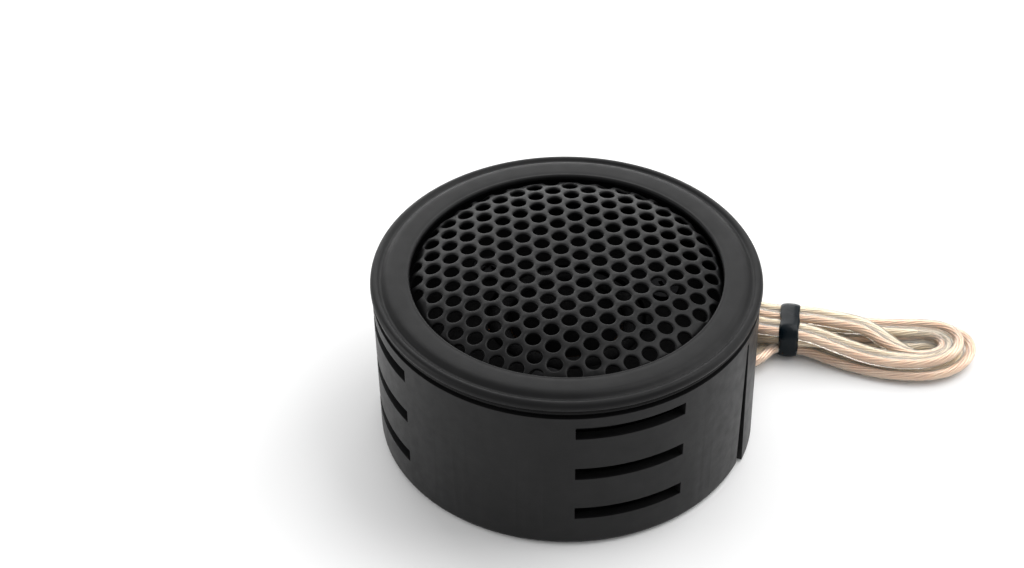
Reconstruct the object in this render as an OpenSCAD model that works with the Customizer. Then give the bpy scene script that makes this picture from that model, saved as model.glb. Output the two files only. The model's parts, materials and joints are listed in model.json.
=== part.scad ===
// Round surface-mount dome tweeter with its wire in a tied hank.
// Origin: centre of the base on the mounting surface. +Z points out of the grille.

/* [Housing cup] */
// Outer radius of the cup at its base
cup_base_r = 23.5; // [23.3:0.1:23.7]
// Outer radius of the cup at its rim
cup_top_r = 23.8; // [23.7:0.05:23.85]
// Inner radius of the cup
cup_bore_r = 22.4; // [22.3:0.05:22.5]
// Height of the cup's rim
cup_h = 21.1; // [21:0.1:21.2]
// Thickness of the cup's floor
floor_t = 1.8; // [1.6:0.1:2]
// Distance between the two fixing screw holes
screw_spacing = 26; // [24:1:28]
// Radius of the fixing screw holes
screw_hole_r = 1.7; // [1.5:0.1:1.9]

/* [Vent slots] */
// Angular width of a vent slot in degrees
slot_angle = 33.4; // [28:0.2:34]
// Height of a vent slot
slot_h = 1.8; // [1.4:0.1:1.8]
// Height of the lowest slot's middle above the base
slot_z = 5.5; // [5.2:0.05:5.7]
// Vertical distance from one slot to the next
slot_pitch = 6.6; // [6.4:0.1:6.8]
// Direction of the first slot group in degrees
slot_azimuth = 18; // [16:0.2:20]

/* [Front] */
// Outer radius of the bezel's bead
bezel_r = 24; // [23.9:0.05:24.1]
// Height of the bezel's flat top
bezel_z = 23.65; // [23.5:0.05:23.8]
// Radius of the opening in the bezel
opening_r = 19.2; // [19.1:0.1:19.3]
// Distance between neighbouring grille holes
hole_pitch = 2.61; // [2.6:0.01:2.8]
// Radius of a grille hole
hole_r = 0.95; // [0.8:0.01:1]
// Turn of the grille's hole rows in degrees
hole_turn = -26; // [-60:1:60]

/* [Driver] */
// Outer radius of the ring magnet
magnet_r = 15.5; // [15:0.1:15.6]
// Thickness of the ring magnet
magnet_t = 6; // [5.6:0.1:6]
// Outer radius of the voice coil former
former_r = 7.05; // [7:0.05:7.1]
// Height of the dome above its rim
dome_h = 2.2; // [1.8:0.1:2.4]

/* [Wire] */
// Width of the flat twin wire
wire_w = 3; // [2.8:0.1:3]
// Thickness of the flat twin wire
wire_t = 1.5; // [1.4:0.1:1.5]

/* [Hidden] */
$fn = 96;

eps = 0.01;
far_r = 40;              // reach of a cutting wedge, past every wall
plastic = [0.16, 0.16, 0.17];
steel = [0.62, 0.63, 0.65];
copper = [0.8, 0.45, 0.25];
clear_pvc = [0.85, 0.72, 0.6];

// Housing cup
base_round = 1;
counterbore_r = 3.2;
counterbore_t = 0.6;
slot_groups = 4;
slot_rows = 3;
tongue_azimuth = -16.4;  // a spring tongue, with its twin opposite
tongue_half = 8.2;       // half its angle between the slits, in degrees
tongue_r = 23.78;        // the tongue stands straight while the wall leans in
tongue_z = 0.3;
slit_top_z = 20;
slit_top_w = 0.45;
slit_base_w = 1.3;
tongue_relief_r = 21;    // the floor is cut away behind the tongue

// Wire outlet
outlet_azimuth = 18.4;
outlet_w = 4.4;
outlet_h = 3;
outlet_in_r = 17.4;
grommet_in_r = 21.4;
grommet_out_r = 25;
grommet_lip = 0.6;
grommet_lip_t = 0.8;
grommet_clear = 0.05;

// Bezel
skirt_r = 22.25;
skirt_in_r = 21.7;
skirt_z = 17.9;
ledge_r = 20.6;
ledge_z = 19.4;
undercut_r = 23.2;
rim_z = 21.75;            // underside of the bezel's overhanging rim
bead_r = 0.65;
neck_r = 23.55;           // waist between the bead and the foot of the rim
bead_z = 22.75;
groove_t = 0.3;
lip_t = 0.65;
pry_azimuth = -16.4;
pry_w = 2.6;
pry_h = 0.9;

// Grille
grille_t = 0.45;
grille_top_z = 24.9;
grille_sag = 2.45;       // fall of the crown from its middle to its edge
grille_edge_r = 20.1;
grille_rim_r = 21.6;
grille_hole_margin = 0.15;
gasket_t = 0.5;
gasket_in_r = 19.9;

// Driver frame
frame_z = 16.6;
frame_top_z = ledge_z - grille_t - gasket_t;
frame_hub_r = 14.9;
frame_throat_r = 9.9;
frame_throat_z = 16.4;
frame_flare_r = 19.8;
clamp_r = 11.3;
clamp_t = 0.16;
lead_groove_w = 4.2;
lead_groove_t = 0.7;
frame_screw_r = 1;
frame_screw_head_r = 1.9;
frame_screw_head_t = 0.9;
frame_screw_pcd_r = 12.9;
frame_screw_l = 3.6;

// Magnet system, stacked down from the top plate
plate_top_z = 15.2;
plate_t = 2;
plate_r = 14.5;
plate_bore_r = 7.85;
magnet_top_z = plate_top_z - plate_t;
magnet_bore_r = 8.4;
yoke_top_z = magnet_top_z - magnet_t;
yoke_t = 2.4;
pole_r = 6.55;
felt_t = 0.6;

// Moving parts
former_t = 0.15;
former_z = 12.3;
former_top_z = 15.95;
coil_t = 0.35;
coil_z = 12.6;
coil_h = 2.6;
skin_t = 0.15;
roll_r = 1.2;
roll_mid_r = 8.45;
surround_z = plate_top_z;
surround_flange_r = 11.2;
lead_r = 0.12;
lead_side = 1.6;

// Terminals
terminal_azimuth = 198.4;
board_in_r = 15.9;
board_out_r = 20.7;
board_w = 10;
board_t = 0.8;
tag_w = 2.4;
tag_t = 0.4;
tag_gap = 5;
rivet_r = 0.6;

// Capacitor, lying against the magnet
capacitor_azimuth = 250;
capacitor_r = 2.5;
capacitor_l = 11;
capacitor_z = 9.6;
sleeve_t = 0.15;

// Routes inside the cup: azimuth, radius and height of each point
INNER = [
    [18.4, 21.35, 1.5], [18.4, 20.6, 1.5], [19.2, 19.7, 2], [22.5, 18.8, 2.7], [28, 18.5, 3.1],
    [36, 18.6, 3.4], [46, 18.8, 3.8], [58, 19, 4.4], [70, 19.1, 5.1], [82, 19.1, 5.9],
    [94, 19.1, 6.8], [106, 19.1, 7.7], [118, 19.1, 8.6], [130, 19.1, 9.5], [142, 19.1, 10.4],
    [154, 19.1, 11.2], [165, 19, 11.8], [175, 18.9, 12.2]
];
TAIL_MINUS = [
    [176.2, 18.2, 12.2], [179, 17.9, 12.5], [183, 17.6, 13.1], [187, 17.3, 13.8], [190, 17.1, 14.4]
];
TAIL_PLUS = [
    [176.2, 19.7, 12.2], [181, 19.9, 12], [188, 20, 11.5], [196, 20, 10.9], [204, 20, 10.3],
    [212, 20, 9.8], [219, 20, 9.5], [226, 20, 9.4]
];
CAP_PLUS = [
    [233.3, 18.06, 9.6], [229, 17.8, 9.8], [224, 17.6, 10.6], [218.5, 17.5, 11.8],
    [213, 17.4, 13.1], [207, 17.2, 14.4]
];
CAP_MINUS = [[234.9, 19.99, 9.6], [232, 20, 9.5], [229, 20, 9.4], [226, 20, 9.4]];
core_w = 1.5;
cap_wire_w = 0.5;

// Route of the wire outside, from the grommet to the hank
LEAD = [
    [23.75, 7.9, 1.5], [24.65, 8.2, 1.5], [25.6, 8.75, 1.4], [26.5, 9.6, 1.4], [27.4, 10.6, 1.5]
];

// Centre line of the hank, and half its width at each point
HANK = [
    [2, 33.4, 4.8], [7.6, 31.7, 4.4], [13, 28.6, 3.6], [17.5, 24.7, 3.1], [20.7, 20.5, 2.9],
    [22.6, 17, 2.9], [24.1, 14.9, 2.9], [26, 13.9, 2.9], [28.3, 13.45, 2.9], [31.3, 12.9, 2.9],
    [34.8, 12, 3.6], [38.8, 11.1, 4.6], [43.3, 10.4, 5.3], [49, 10.2, 5.5]
];
hank_z = 0.4;
hank_h = 4.2;
tie_x = 29.8;
tie_y = 13.2;
tie_turn = -8;
tie_w = 2.7;
tie_t = 0.4;
tie_half = 2.95;

// Stripped, tinned ends beside the hank's far end
tip_r = 0.45;
tip_l = 7;
tip_gap = 1.8;

function polar(a, r) = [r * cos(a), r * sin(a)];
function flat2(v) = [v[0], v[1]];
function unit(v) = v / norm(v);
function on_polar(route) = [for (p = route) [p[1] * cos(p[0]), p[1] * sin(p[0]), p[2]]];

// Direction of a route at one of its points
function heading(route, i) =
    unit(route[min(i + 1, len(route) - 1)] - route[max(i - 1, 0)]);

// One ring of a wire: an ellipse of width w and thickness t across the route
function wire_ring(route, i, w, t) =
    let (
        along = heading(route, i),
        side = unit([along[1], -along[0], 0]),
        up = cross(side, along)
    )
    [for (k = [0 : 7]) route[i] + side * w / 2 * cos(45 * k) + up * t / 2 * sin(45 * k)];

// Wedge from the axis, between two directions, standing between two heights
module wedge(azimuth, angle, z0, z1) {
    translate([0, 0, z0])
        linear_extrude(z1 - z0)
            polygon([[0, 0], polar(azimuth - angle / 2, far_r), polar(azimuth + angle / 2, far_r)]);
}

module ring(r_out, r_in, z, h) {
    translate([0, 0, z])
        difference() {
            cylinder(r = r_out, h = h);
            translate([0, 0, -1]) cylinder(r = r_in, h = h + 2);
        }
}

// Box that stands on a direction, from one radius to another
module radial_box(azimuth, r0, r1, w, z0, z1) {
    rotate([0, 0, azimuth])
        translate([r0, -w / 2, z0])
            cube([r1 - r0, w, z1 - z0]);
}

module wire(route, w, t) {
    n = len(route);
    points = [for (i = [0 : n - 1]) each wire_ring(route, i, w, t)];
    sides = [
        for (i = [0 : n - 2], k = [0 : 7])
            [8 * i + k, 8 * i + (k + 1) % 8, 8 * i + 8 + (k + 1) % 8, 8 * i + 8 + k]
    ];
    ends = [[for (k = [7 : -1 : 0]) k], [for (k = [0 : 7]) 8 * (n - 1) + k]];
    polyhedron(points = points, faces = concat(sides, ends));
}

module slit(azimuth) {
    rotate([0, 0, azimuth])
        translate([tongue_relief_r, 0, 0])
            rotate([90, 0, 90])
                linear_extrude(4)
                    polygon([
                        [-slit_base_w / 2, -1], [slit_base_w / 2, -1],
                        [slit_top_w / 2, slit_top_z], [-slit_top_w / 2, slit_top_z]
                    ]);
}

module cup_shell() {
    rotate_extrude()
        polygon([
            [0, 0],
            each [for (a = [-90 : 18 : 0])
                [cup_base_r - base_round + base_round * cos(a), base_round + base_round * sin(a)]],
            [cup_top_r, cup_h], [cup_bore_r, cup_h], [cup_bore_r, floor_t], [0, floor_t]
        ]);
}

module tongue_blade(azimuth) {
    intersection() {
        ring(tongue_r, cup_bore_r, tongue_z, slit_top_z - tongue_z);
        wedge(azimuth, 2 * tongue_half, 0, cup_h);
    }
}

module tongue_relief(azimuth) {
    intersection() {
        ring(cup_bore_r, tongue_relief_r, -1, floor_t + 2);
        wedge(azimuth, 2 * tongue_half, -1, floor_t + 1);
    }
    intersection() {
        ring(bezel_r, tongue_relief_r, -1, tongue_z + 1);
        wedge(azimuth, 2 * tongue_half, -1, tongue_z);
    }
}

module housing_cup() {
    tongues = [tongue_azimuth, tongue_azimuth + 180];
    color(plastic)
        difference() {
            union() {
                cup_shell();
                for (a = tongues) tongue_blade(a);
            }
            for (g = [0 : slot_groups - 1], row = [0 : slot_rows - 1])
                wedge(
                    slot_azimuth + 360 * g / slot_groups, slot_angle,
                    slot_z + slot_pitch * row - slot_h / 2, slot_z + slot_pitch * row + slot_h / 2
                );
            for (a = tongues) {
                slit(a - tongue_half);
                slit(a + tongue_half);
                tongue_relief(a);
            }
            radial_box(outlet_azimuth, outlet_in_r, far_r, outlet_w, -1, outlet_h);
            for (side = [-1, 1])
                translate([side * screw_spacing / 2, 0, 0]) {
                    translate([0, 0, -1]) cylinder(r = screw_hole_r, h = floor_t + 2);
                    translate([0, 0, floor_t - counterbore_t]) cylinder(r = counterbore_r, h = 2);
                }
        }
}

module wire_grommet() {
    body_w = outlet_w - 2 * grommet_clear;
    color([0.08, 0.08, 0.08]) {
        radial_box(outlet_azimuth, grommet_in_r, grommet_out_r, body_w, 0.05, outlet_h - grommet_clear);
        radial_box(
            outlet_azimuth, grommet_out_r - grommet_lip_t, grommet_out_r,
            body_w + 2 * grommet_lip, 0.05, outlet_h + grommet_lip
        );
    }
}

module inner_lead() {
    color(clear_pvc)
        wire(on_polar(INNER), wire_w, wire_t);
}

module front_bezel() {
    bead_mid_r = bezel_r - bead_r;
    color(plastic)
        difference() {
            rotate_extrude()
                polygon([
                    [opening_r, bezel_z - lip_t], [opening_r + 0.25, bezel_z],
                    [bead_mid_r - 1.15, bezel_z], [bead_mid_r - 0.85, bezel_z - groove_t],
                    [bead_mid_r - 0.55, bezel_z - groove_t],
                    each [for (a = [120 : -15 : -60])
                        [bead_mid_r + bead_r * cos(a), bead_z + bead_r * sin(a)]],
                    [neck_r, rim_z + 0.32], [bezel_r - 0.25, rim_z + 0.2],
                    [bezel_r - 0.25, rim_z + 0.06], [bezel_r - 0.35, rim_z], [undercut_r, rim_z],
                    [undercut_r, cup_h], [skirt_r, cup_h], [skirt_r, skirt_z],
                    [skirt_in_r, skirt_z], [skirt_in_r, ledge_z], [ledge_r, ledge_z],
                    [ledge_r, bezel_z - 1]
                ]);
            radial_box(pry_azimuth, bezel_r - 0.75, far_r, pry_w, cup_h - 1, cup_h + pry_h);
        }
}

module grille_crown() {
    ball_r = (pow(grille_edge_r, 2) + pow(grille_sag, 2)) / (2 * grille_sag);
    intersection() {
        translate([0, 0, grille_top_z - ball_r])
            difference() {
                sphere(r = ball_r);
                sphere(r = ball_r - grille_t);
            }
        translate([0, 0, ledge_z]) cylinder(r = grille_edge_r, h = 6);
    }
}

module grille() {
    rows = ceil(grille_edge_r / hole_pitch) + 1;
    skirt_in = grille_edge_r - grille_t / 2;
    color([0.2, 0.2, 0.21])
        difference() {
            union() {
                grille_crown();
                ring(skirt_in + grille_t, skirt_in, ledge_z - grille_t, grille_top_z - grille_sag - ledge_z + 0.2);
                ring(grille_rim_r, skirt_in, ledge_z - grille_t, grille_t);
            }
            rotate([0, 0, hole_turn])
                for (i = [-rows : rows], j = [-rows : rows]) {
                    x = hole_pitch * (i + j / 2);
                    y = hole_pitch * j * sin(60);
                    if (norm([x, y]) < grille_edge_r - hole_r - grille_hole_margin)
                        translate([x, y, ledge_z]) cylinder(r = hole_r, h = 6, $fn = 24);
                }
        }
}

module grille_gasket() {
    color([0.06, 0.06, 0.06])
        ring(grille_rim_r, gasket_in_r, frame_top_z, gasket_t);
}

module driver_frame() {
    color([0.1, 0.1, 0.11])
        difference() {
            rotate_extrude()
                polygon([
                    [frame_throat_r, plate_top_z + clamp_t], [clamp_r, plate_top_z + clamp_t],
                    [clamp_r, plate_top_z], [frame_hub_r, plate_top_z], [frame_hub_r + 0.3, frame_z],
                    [skirt_in_r, frame_z], [skirt_in_r, frame_top_z], [frame_flare_r, frame_top_z],
                    [frame_throat_r, frame_throat_z]
                ]);
            radial_box(
                terminal_azimuth, frame_throat_r - 1, frame_hub_r + 0.6, lead_groove_w,
                plate_top_z - 1, plate_top_z + lead_groove_t
            );
            for (i = [0 : 2])
                rotate([0, 0, terminal_azimuth + 60 + 120 * i])
                    translate([frame_screw_pcd_r, 0, plate_top_z - 1])
                        cylinder(r = frame_screw_r + 0.1, h = 6);
            for (i = [0 : 2])
                rotate([0, 0, terminal_azimuth + 60 + 120 * i])
                    translate([frame_screw_pcd_r, 0, frame_z]) cylinder(r = frame_screw_head_r + 0.1, h = 6);
        }
}

module frame_screws() {
    color(steel)
        for (i = [0 : 2])
            rotate([0, 0, terminal_azimuth + 60 + 120 * i])
                translate([frame_screw_pcd_r, 0, frame_z])
                    difference() {
                        union() {
                            cylinder(r = frame_screw_head_r, h = frame_screw_head_t);
                            translate([0, 0, -frame_screw_l + 0.4])
                                cylinder(r = frame_screw_r, h = frame_screw_l);
                        }
                        for (a = [0, 90])
                            rotate([0, 0, a])
                                translate([-1.2, -0.25, frame_screw_head_t - 0.5])
                                    cube([2.4, 0.5, 1]);
                    }
}

module top_plate() {
    color(steel)
        difference() {
            ring(plate_r, plate_bore_r, magnet_top_z, plate_t);
            for (i = [0 : 2])
                rotate([0, 0, terminal_azimuth + 60 + 120 * i])
                    translate([frame_screw_pcd_r, 0, magnet_top_z - 1])
                        cylinder(r = frame_screw_r, h = plate_t + 2);
        }
}

module ring_magnet() {
    color([0.13, 0.13, 0.14])
        ring(magnet_r, magnet_bore_r, yoke_top_z, magnet_t);
}

module pole_yoke() {
    color(steel) {
        translate([0, 0, yoke_top_z - yoke_t]) cylinder(r = plate_r, h = yoke_t);
        translate([0, 0, yoke_top_z - eps]) cylinder(r = pole_r, h = plate_top_z - felt_t - yoke_top_z);
    }
}

module pole_felt() {
    color([0.3, 0.3, 0.28])
        translate([0, 0, plate_top_z - felt_t - eps]) cylinder(r = pole_r - 0.1, h = felt_t);
}

module surround() {
    color([0.12, 0.12, 0.13])
        rotate_extrude() {
            translate([roll_mid_r, surround_z + skin_t])
                intersection() {
                    difference() {
                        circle(r = roll_r + skin_t / 2);
                        circle(r = roll_r - skin_t / 2);
                    }
                    translate([-2 * roll_r, 0]) square([4 * roll_r, 2 * roll_r]);
                }
            translate([roll_mid_r + roll_r - skin_t / 2, surround_z])
                square([surround_flange_r - roll_mid_r - roll_r + skin_t / 2, skin_t + eps]);
            translate([former_r, surround_z])
                square([roll_mid_r - roll_r + skin_t / 2 - former_r, skin_t + eps]);
        }
}

module dome() {
    ball_r = (pow(former_r, 2) + pow(dome_h, 2)) / (2 * dome_h);
    ball_z = former_top_z + dome_h - ball_r;
    color([0.2, 0.17, 0.14])
        intersection() {
            difference() {
                translate([0, 0, ball_z]) sphere(r = ball_r);
                translate([0, 0, ball_z]) sphere(r = ball_r - skin_t);
            }
            translate([0, 0, former_top_z]) cylinder(r = former_r, h = dome_h + 1);
        }
}

module coil_former() {
    color([0.75, 0.6, 0.35])
        ring(former_r, former_r - former_t, former_z, former_top_z - former_z);
}

module voice_coil() {
    color(copper)
        ring(former_r + coil_t, former_r, coil_z, coil_h);
}

module coil_leads() {
    color(copper)
        rotate([0, 0, terminal_azimuth])
            for (side = [-1, 1])
                translate([former_r + coil_t + 0.2, side * lead_side, plate_top_z + 0.4])
                    rotate([0, 90, 0])
                        cylinder(r = lead_r, h = board_in_r + 0.2 - former_r - coil_t, $fn = 16);
}

module terminal_board() {
    color([0.42, 0.27, 0.14])
        difference() {
            radial_box(terminal_azimuth, board_in_r, board_out_r, board_w, frame_z - board_t, frame_z);
            rotate([0, 0, terminal_azimuth])
                for (side = [-1, 1])
                    translate([board_out_r - 1.6, side * tag_gap / 2, frame_z - board_t - 1])
                        cylinder(r = rivet_r, h = board_t + 2);
        }
}

module terminal_rivets() {
    color([0.8, 0.7, 0.4])
        rotate([0, 0, terminal_azimuth])
            for (side = [-1, 1])
                translate([board_out_r - 1.6, side * tag_gap / 2, frame_z - board_t - tag_t - 0.3]) {
                    cylinder(r = rivet_r, h = board_t + tag_t + 0.3);
                    cylinder(r = rivet_r + 0.35, h = 0.3);
                }
}

module solder_tags() {
    color([0.8, 0.76, 0.62])
        rotate([0, 0, terminal_azimuth])
            for (side = [-1, 1])
                difference() {
                    union() {
                        translate([
                            board_in_r + 0.4, side * tag_gap / 2 - tag_w / 2, frame_z - board_t - tag_t
                        ])
                            cube([board_out_r - board_in_r - 0.8, tag_w, tag_t]);
                        translate([
                            board_in_r + 0.4, side * tag_gap / 2 - tag_w / 2, frame_z - board_t - tag_t - 1.8
                        ])
                            cube([tag_t, tag_w, 1.8 + eps]);
                    }
                    translate([board_out_r - 1.6, side * tag_gap / 2, frame_z - 3])
                        cylinder(r = rivet_r, h = 4);
                }
}

module at_capacitor(start) {
    rotate([0, 0, capacitor_azimuth])
        translate([magnet_r + capacitor_r + 2 * sleeve_t, -start, capacitor_z])
            rotate([90, 0, 0])
                children();
}

module capacitor_can() {
    color([0.72, 0.73, 0.75])
        at_capacitor(-capacitor_l / 2)
            cylinder(r = capacitor_r, h = capacitor_l - 1.2);
}

module capacitor_sleeve() {
    color([0.09, 0.09, 0.12])
        at_capacitor(-capacitor_l / 2 - 0.2)
            difference() {
                cylinder(r = capacitor_r + sleeve_t, h = capacitor_l);
                translate([0, 0, 0.2]) cylinder(r = capacitor_r, h = capacitor_l);
                translate([0, 0, -1]) cylinder(r = capacitor_r - 0.6, h = 3);
            }
}

module capacitor_bung() {
    color([0.05, 0.05, 0.05])
        at_capacitor(-capacitor_l / 2 + capacitor_l - 1.2)
            cylinder(r = capacitor_r - 0.1, h = 0.9);
}

module capacitor_leads() {
    color(steel) {
        wire(on_polar(CAP_PLUS), cap_wire_w, cap_wire_w);
        wire(on_polar(CAP_MINUS), cap_wire_w, cap_wire_w);
    }
}

module core_tails() {
    color(clear_pvc) {
        wire(on_polar(TAIL_MINUS), core_w, core_w);
        wire(on_polar(TAIL_PLUS), core_w, core_w);
    }
}

module cord_lead() {
    color(clear_pvc) wire(LEAD, wire_w, wire_t);
}

// Outline of the hank: both sides of its centre line, with round ends
function hank_side(i, sign) =
    let (d = heading([for (p = HANK) flat2(p)], i))
    flat2(HANK[i]) + sign * HANK[i][2] * [-d[1], d[0]];
function hank_end(i, turn) =
    let (d = heading([for (p = HANK) flat2(p)], i), base = atan2(d[1], d[0]) + turn)
    [for (k = [15 : 15 : 165]) flat2(HANK[i]) + polar(base - k, HANK[i][2])];

module cord_hank() {
    n = len(HANK);
    outline = concat(
        [for (i = [0 : n - 1]) hank_side(i, 1)], hank_end(n - 1, 90),
        [for (i = [n - 1 : -1 : 0]) hank_side(i, -1)], hank_end(0, -90)
    );
    color(clear_pvc)
        translate([0, 0, hank_z])
            linear_extrude(hank_h)
                polygon(outline);
}

module cord_tie() {
    color([0.05, 0.07, 0.08])
        translate([tie_x, tie_y, 0])
            rotate([0, 0, tie_turn])
                difference() {
                    translate([-tie_w / 2, -tie_half - tie_t, 0])
                        cube([tie_w, 2 * (tie_half + tie_t), hank_z + hank_h + tie_t]);
                    translate([-tie_w, -tie_half, hank_z]) cube([2 * tie_w, 2 * tie_half, hank_h]);
                }
}

module cord_tips() {
    color([0.75, 0.75, 0.74])
        for (side = [-1, 1])
            translate([HANK[0][0] - HANK[0][2] + 0.2, HANK[0][1] + side * tip_gap / 2, 0.9])
                rotate([0, -90, 6 * side])
                    cylinder(r = tip_r, h = tip_l, $fn = 16);
}

housing_cup();
wire_grommet();
inner_lead();
front_bezel();
grille();
grille_gasket();
driver_frame();
frame_screws();
top_plate();
ring_magnet();
pole_yoke();
pole_felt();
surround();
dome();
coil_former();
voice_coil();
coil_leads();
terminal_board();
terminal_rivets();
solder_tags();
core_tails();
capacitor_can();
capacitor_sleeve();
capacitor_bung();
capacitor_leads();
cord_lead();
cord_hank();
cord_tie();
cord_tips();
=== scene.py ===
import json
import math

import bmesh
import bpy
import numpy as np
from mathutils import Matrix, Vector
from mathutils.geometry import delaunay_2d_cdt

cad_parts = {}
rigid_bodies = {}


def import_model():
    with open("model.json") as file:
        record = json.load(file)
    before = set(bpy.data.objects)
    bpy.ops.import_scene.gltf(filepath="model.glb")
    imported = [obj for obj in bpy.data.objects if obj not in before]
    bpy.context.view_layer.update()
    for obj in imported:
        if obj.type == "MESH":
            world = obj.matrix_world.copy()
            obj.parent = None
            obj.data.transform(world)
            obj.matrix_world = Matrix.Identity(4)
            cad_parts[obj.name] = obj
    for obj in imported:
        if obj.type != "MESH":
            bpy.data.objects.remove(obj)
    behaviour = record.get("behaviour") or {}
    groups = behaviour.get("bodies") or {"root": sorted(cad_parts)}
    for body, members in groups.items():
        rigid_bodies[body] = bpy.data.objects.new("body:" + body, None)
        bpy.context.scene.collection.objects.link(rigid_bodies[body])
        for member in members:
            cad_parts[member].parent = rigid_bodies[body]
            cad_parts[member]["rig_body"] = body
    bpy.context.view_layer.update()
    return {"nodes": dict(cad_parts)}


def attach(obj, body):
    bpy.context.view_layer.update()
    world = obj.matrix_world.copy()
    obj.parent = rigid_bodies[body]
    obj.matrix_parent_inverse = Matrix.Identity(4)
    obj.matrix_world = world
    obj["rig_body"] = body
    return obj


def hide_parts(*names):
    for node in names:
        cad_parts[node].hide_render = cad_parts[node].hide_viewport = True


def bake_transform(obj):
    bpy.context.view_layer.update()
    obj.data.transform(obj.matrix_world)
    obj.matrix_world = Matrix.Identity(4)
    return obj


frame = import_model()
MM = 0.001                      # every length below is in millimetres

scene = bpy.context.scene


# ---------------------------------------------------------------- camera, floor and light

def aim(obj, place, target):
    """Puts a camera or a lamp at place, turned towards target."""
    obj.location = Vector(place) * MM
    obj.rotation_euler = (Vector(target) - Vector(place)).to_track_quat("-Z", "Y").to_euler()
    scene.collection.objects.link(obj)
    return obj


CAMERA_PLACE, CAMERA_TARGET = (-6.2, -222.17, 207.16), (-2.77, 1.87, 20)
camera_data = bpy.data.cameras.new("camera")
camera_data.lens = 83.05
camera_data.shift_x = -0.0309
camera_data.sensor_width = 36
camera_data.clip_start = 0.005
camera_data.clip_end = 20
scene.camera = aim(bpy.data.objects.new("camera", camera_data), CAMERA_PLACE, CAMERA_TARGET)


# ---------------------------------------------------------------- materials

class Shader:
    """A Principled shader with helpers for procedural detail in object space."""

    def __init__(self, name, **sockets):
        self.material = bpy.data.materials.new(name)
        self.material.use_nodes = True
        self.tree = self.material.node_tree
        self.bsdf = self.tree.nodes["Principled BSDF"]
        self.coords = self.tree.nodes.new("ShaderNodeTexCoord")
        for key, value in sockets.items():
            self.bsdf.inputs[key.replace("_", " ")].default_value = value

    def link(self, a, b):
        self.tree.links.new(a, b)

    def texture(self, kind, size_mm):
        """A texture node whose features are about size_mm across."""
        mapping = self.tree.nodes.new("ShaderNodeMapping")
        mapping.inputs["Scale"].default_value = [1 / (size_mm * MM)] * 3
        self.link(self.coords.outputs["Object"], mapping.inputs["Vector"])
        node = self.tree.nodes.new(kind)
        node.inputs["Scale"].default_value = 1
        self.link(mapping.outputs["Vector"], node.inputs["Vector"])
        return node

    def noise(self, size_mm, detail=3):
        node = self.texture("ShaderNodeTexNoise", size_mm)
        node.inputs["Detail"].default_value = detail
        node.inputs["Roughness"].default_value = 0.55
        return node.outputs["Fac"]

    def cells(self, size_mm):
        return self.texture("ShaderNodeTexVoronoi", size_mm).outputs["Distance"]

    def colour(self, source, dark, light):
        """Base colour from dark to light over the middle of a texture's range."""
        ramp = self.tree.nodes.new("ShaderNodeValToRGB")
        low, high = ramp.color_ramp.elements
        low.position, high.position = 0.35, 0.65
        low.color, high.color = (*dark, 1), (*light, 1)
        self.link(source, ramp.inputs["Fac"])
        self.link(ramp.outputs["Color"], self.bsdf.inputs["Base Color"])

    def rough(self, source, low, high):
        """Roughness from low to high over the middle of a texture's range."""
        node = self.tree.nodes.new("ShaderNodeMapRange")
        node.inputs["From Min"].default_value = 0.3
        node.inputs["From Max"].default_value = 0.7
        node.inputs["To Min"].default_value = low
        node.inputs["To Max"].default_value = high
        self.link(source, node.inputs["Value"])
        self.link(node.outputs["Result"], self.bsdf.inputs["Roughness"])

    def bump(self, *layers):
        """Each layer is (height source, depth in mm)."""
        last = None
        for source, depth in layers:
            node = self.tree.nodes.new("ShaderNodeBump")
            node.inputs["Strength"].default_value = 1
            node.inputs["Distance"].default_value = depth * MM
            self.link(source, node.inputs["Height"])
            if last:
                self.link(last, node.inputs["Normal"])
            last = node.outputs["Normal"]
        self.link(last, self.bsdf.inputs["Normal"])


def moulded(name, dark, light, rough, grain_mm=0.22, grain_depth=0.006, **sockets):
    """Plastic, rubber, film or ferrite: a fine grain, faint flow marks and uneven gloss."""
    s = Shader(name, **sockets)
    s.colour(s.noise(5, 4), dark, light)
    s.rough(s.noise(1.6, 3), *rough)
    s.bump((s.noise(9, 2), 0.02), (s.noise(grain_mm, 2), grain_depth))
    return s.material


def metal(name, dark, light, rough, grain_mm=0.3):
    """Metal with uneven gloss and a very fine rolled or etched grain."""
    s = Shader(name, Metallic=1.0)
    s.colour(s.noise(2.5, 4), dark, light)
    s.rough(s.noise(0.9, 3), *rough)
    s.bump((s.noise(grain_mm, 3), 0.003))
    return s.material


def pressed(name, dark, light, rough, cell_mm, depth, **sockets):
    """Foam, felt or coated cloth: small cells or fibres in the surface."""
    s = Shader(name, **sockets)
    s.colour(s.noise(cell_mm * 2, 4), dark, light)
    s.rough(s.noise(cell_mm * 3, 2), *rough)
    s.bump((s.cells(cell_mm), depth), (s.noise(cell_mm * 0.4, 3), depth * 0.6))
    return s.material


CUP = moulded(
    "cup_plastic", (0.0055, 0.0055, 0.0058), (0.0075, 0.0075, 0.0078), (0.40, 0.50),
    Specular_IOR_Level=0.2
)
BEZEL = moulded(
    "bezel_plastic", (0.0065, 0.0065, 0.0068), (0.0085, 0.0085, 0.0088), (0.38, 0.48), 0.26, 0.004,
    Specular_IOR_Level=0.13
)
PAINT = moulded(
    "grille_paint", (0.0055, 0.0055, 0.0058), (0.0075, 0.0075, 0.0078), (0.32, 0.42), 0.35, 0.005,
    Specular_IOR_Level=0.12
)
# Black plastic, made far darker than the cup's plastic as painted shade: it stands for the shade in
# the cavity seen through the grille's holes.
FRAME_BLACK_AND_SHADE = moulded(
    "frame_plastic", (0.0008, 0.0008, 0.0009), (0.0016, 0.0016, 0.0017), (0.6, 0.75),
    Specular_IOR_Level=0.04
)
RUBBER = moulded("seal_rubber", (0.008, 0.008, 0.008), (0.014, 0.014, 0.014), (0.55, 0.7), 0.15)
TIE = moulded(
    "tie_rubber", (0.001, 0.0035, 0.0055), (0.002, 0.006, 0.009), (0.24, 0.34), 0.5, 0.01,
    Specular_IOR_Level=0.15
)
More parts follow.
